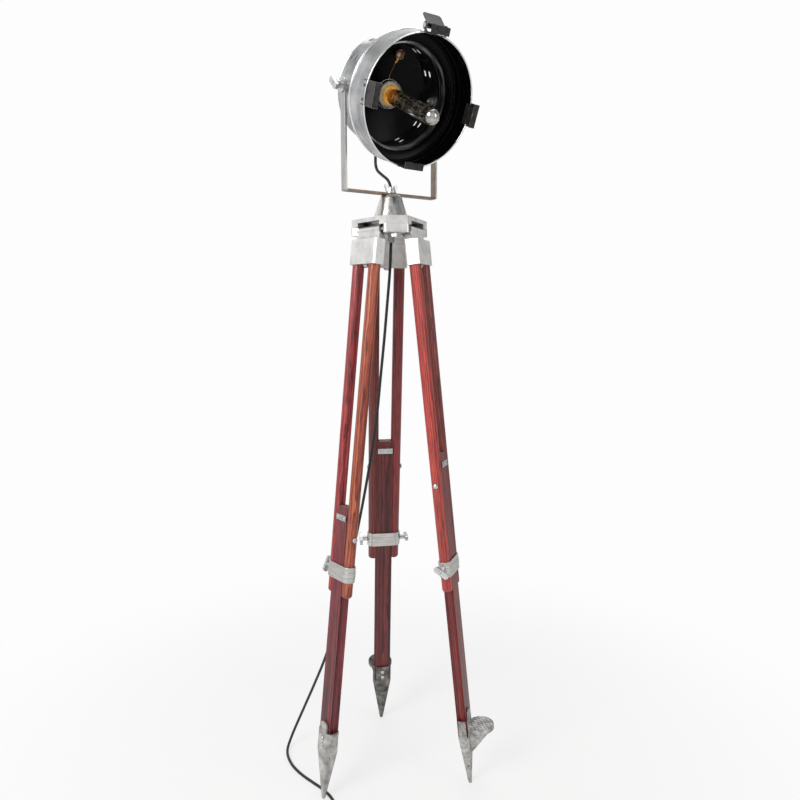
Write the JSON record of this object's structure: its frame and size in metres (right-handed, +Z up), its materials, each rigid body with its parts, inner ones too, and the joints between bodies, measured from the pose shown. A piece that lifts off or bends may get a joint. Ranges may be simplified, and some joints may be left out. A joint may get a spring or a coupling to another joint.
{
  "type": "tripod spotlight floor lamp",
  "caption": "Spotlight in a tilting yoke on a folding wooden tripod with sliding lower legs, cast shoes and thumb screws.",
  "frame": {"origin": "on the floor, straight under the tripod head's centre stud, at the middle of the circle the three shoe tips stand on", "axes": "+Z up; the picture looks along +Y; the can faces -Y turned 33 degrees towards +X; the rear leg points 99 degrees from +X, the others 120 degrees to each side"},
  "size_m": [0.4646, 0.4951, 1.5487],
  "materials": {
    "polished_cast_aluminium": "polished casting",
    "sand_cast_aluminium": "sand cast, tumbled",
    "zinc_plated_steel": "zinc plated",
    "satin_aluminium_strap": "satin",
    "stained_pole_wood": "red stained, clear lacquer",
    "stained_bar_wood": "dark red stained, clear lacquer",
    "raw_cast_iron": "raw casting, mottled",
    "plated_yoke_steel": "worn plating",
    "brushed_can_aluminium": "brushed, mottled outside, gloss black inside",
    "spun_aluminium": "spun, bright",
    "blackened_steel": "satin black",
    "lamp_holder_brass": "plain",
    "white_ceramic": "glazed",
    "clear_glass": "clear",
    "black_rubber": "matt",
    "black_cord": "matt sheath"
  },
  "bodies": {
    "base": {"head_casting": "sand_cast_aluminium", "mount_cone": "polished_cast_aluminium", "centre_stud": "zinc_plated_steel", "clamp_blocks": "sand_cast_aluminium", "head_nuts": "zinc_plated_steel", "hinge_pins": "zinc_plated_steel", "drop_cord": "black_cord", "cord_coil": "black_cord", "mains_plug": "black_rubber"},
    "leg_fl": {"shoulder_fl": "sand_cast_aluminium", "poles_fl": "stained_pole_wood", "band_fl": "satin_aluminium_strap", "dome_bolts_fl": "zinc_plated_steel"},
    "lower_leg_fl": {"lower_bar_fl": "stained_bar_wood", "clip_plates_fl": "zinc_plated_steel", "shoe_fl": "raw_cast_iron", "shoe_rivets_fl": "zinc_plated_steel"},
    "thumb_screw_fl_turning": {"thumb_screw_fl": "zinc_plated_steel"},
    "leg_right": {"shoulder_right": "sand_cast_aluminium", "poles_right": "stained_pole_wood", "band_right": "satin_aluminium_strap", "dome_bolts_right": "zinc_plated_steel"},
    "lower_leg_right": {"lower_bar_right": "stained_bar_wood", "clip_plates_right": "zinc_plated_steel", "shoe_right": "raw_cast_iron", "shoe_rivets_right": "zinc_plated_steel"},
    "thumb_screw_right_turning": {"thumb_screw_right": "zinc_plated_steel"},
    "leg_rear": {"shoulder_rear": "sand_cast_aluminium", "poles_rear": "stained_pole_wood", "band_rear": "satin_aluminium_strap", "dome_bolts_rear": "zinc_plated_steel"},
    "lower_leg_rear": {"lower_bar_rear": "stained_bar_wood", "clip_plates_rear": "zinc_plated_steel", "shoe_rear": "raw_cast_iron", "shoe_rivets_rear": "zinc_plated_steel"},
    "thumb_screw_rear_turning": {"thumb_screw_rear": "zinc_plated_steel"},
    "thumb_screw_rear_second_turning": {"thumb_screw_rear_second": "zinc_plated_steel"},
    "yoke": {"yoke": "plated_yoke_steel", "lamp_cord": "black_cord"},
    "wing_nut": {"wing_nut": "zinc_plated_steel"},
    "can": {"pivot_bolts": "zinc_plated_steel", "front_drum": "brushed_can_aluminium", "rear_drum": "brushed_can_aluminium", "rear_cap": "brushed_can_aluminium", "step_ring": "spun_aluminium", "frame_clips": "blackened_steel", "latch_base": "blackened_steel", "latch_pin": "zinc_plated_steel", "holder_bracket": "blackened_steel", "lamp_holder": "lamp_holder_brass", "holder_ring": "white_ceramic", "bulb_glass": "clear_glass", "bulb_cap": "lamp_holder_brass", "bulb_stem": "clear_glass", "filament": "lamp_holder_brass", "earth_wire": "lamp_holder_brass", "cord_gland": "black_rubber"},
    "knob_left": {"knob_left": "zinc_plated_steel"},
    "knob_right": {"knob_right": "zinc_plated_steel"},
    "latch_lever": {"latch_lever": "blackened_steel"}
  },
  "joints": [
    {"name": "leg_hinge_fl", "type": "hinge", "parent": "base", "child": "leg_fl", "pos_m": [-0.03886, -0.03147, 1.174], "axis": [-0.6293, 0.7771, 0], "range_deg": [-6, 18], "deforming": ["drop_cord"]},
    {"name": "leg_slide_fl", "type": "slide", "parent": "leg_fl", "child": "lower_leg_fl", "axis": [-0.0842, -0.0682, -0.9941], "range_m": [-0.28, 0.085], "deforming": ["drop_cord"]},
    {"name": "thumb_screw_fl_turn", "type": "hinge", "parent": "leg_fl", "child": "thumb_screw_fl_turning", "pos_m": [-0.10116, -0.08192, 0.48463], "axis": [-0.6293, 0.7771, 0], "range_deg": [-170, 170]},
    {"name": "leg_hinge_right", "type": "hinge", "parent": "base", "child": "leg_right", "pos_m": [0.04668, -0.01792, 1.174], "axis": [-0.3584, -0.9336, 0], "range_deg": [-6, 18]},
    {"name": "leg_slide_right", "type": "slide", "parent": "leg_right", "child": "lower_leg_right", "axis": [0.1012, -0.0388, -0.9941], "range_m": [-0.28, 0.19]},
    {"name": "thumb_screw_right_turn", "type": "hinge", "parent": "leg_right", "child": "thumb_screw_right_turning", "pos_m": [0.12153, -0.04665, 0.48463], "axis": [-0.3584, -0.9336, 0], "range_deg": [-170, 170]},
    {"name": "leg_hinge_rear", "type": "hinge", "parent": "base", "child": "leg_rear", "pos_m": [-0.00782, 0.04938, 1.174], "axis": [0.9877, 0.1564, 0], "range_deg": [-6, 18]},
    {"name": "leg_slide_rear", "type": "slide", "parent": "leg_rear", "child": "lower_leg_rear", "axis": [-0.017, 0.107, -0.9941], "range_m": [-0.28, 0.19]},
    {"name": "thumb_screw_rear_turn", "type": "hinge", "parent": "leg_rear", "child": "thumb_screw_rear_turning", "pos_m": [-0.02036, 0.12857, 0.48463], "axis": [0.9877, 0.1564, 0], "range_deg": [-170, 170]},
    {"name": "thumb_screw_rear_second_turn", "type": "hinge", "parent": "leg_rear", "child": "thumb_screw_rear_second_turning", "pos_m": [-0.02036, 0.12857, 0.48463], "axis": [-0.9877, -0.1564, 0], "range_deg": [-170, 170]},
    {"name": "yoke_pan", "type": "hinge", "parent": "base", "child": "yoke", "pos_m": [0, 0, 1.248], "axis": [0, 0, 1], "range_deg": [-90, 90]},
    {"name": "wing_nut_turn", "type": "hinge", "parent": "base", "child": "wing_nut", "pos_m": [0, 0, 1.2545], "axis": [0, 0, 1], "range_deg": [-170, 170]},
    {"name": "can_tilt", "type": "hinge", "parent": "yoke", "child": "can", "pos_m": [0, 0, 1.443], "axis": [0.8387, 0.5446, 0], "range_deg": [-20, 6], "deforming": ["lamp_cord"]},
    {"name": "knob_left_turn", "type": "hinge", "parent": "can", "child": "knob_left", "pos_m": [-0.09896, -0.06427, 1.443], "axis": [-0.8387, -0.5446, 0], "range_deg": [-170, 170]},
    {"name": "knob_right_turn", "type": "hinge", "parent": "can", "child": "knob_right", "pos_m": [0.09896, 0.06427, 1.443], "axis": [0.8387, 0.5446, 0], "range_deg": [-170, 170]},
    {"name": "latch_turn", "type": "hinge", "parent": "can", "child": "latch_lever", "pos_m": [0.08267, -0.12731, 1.51972], "axis": [-0.8387, -0.5446, 0], "range_deg": [-10, 50]}
  ]
}
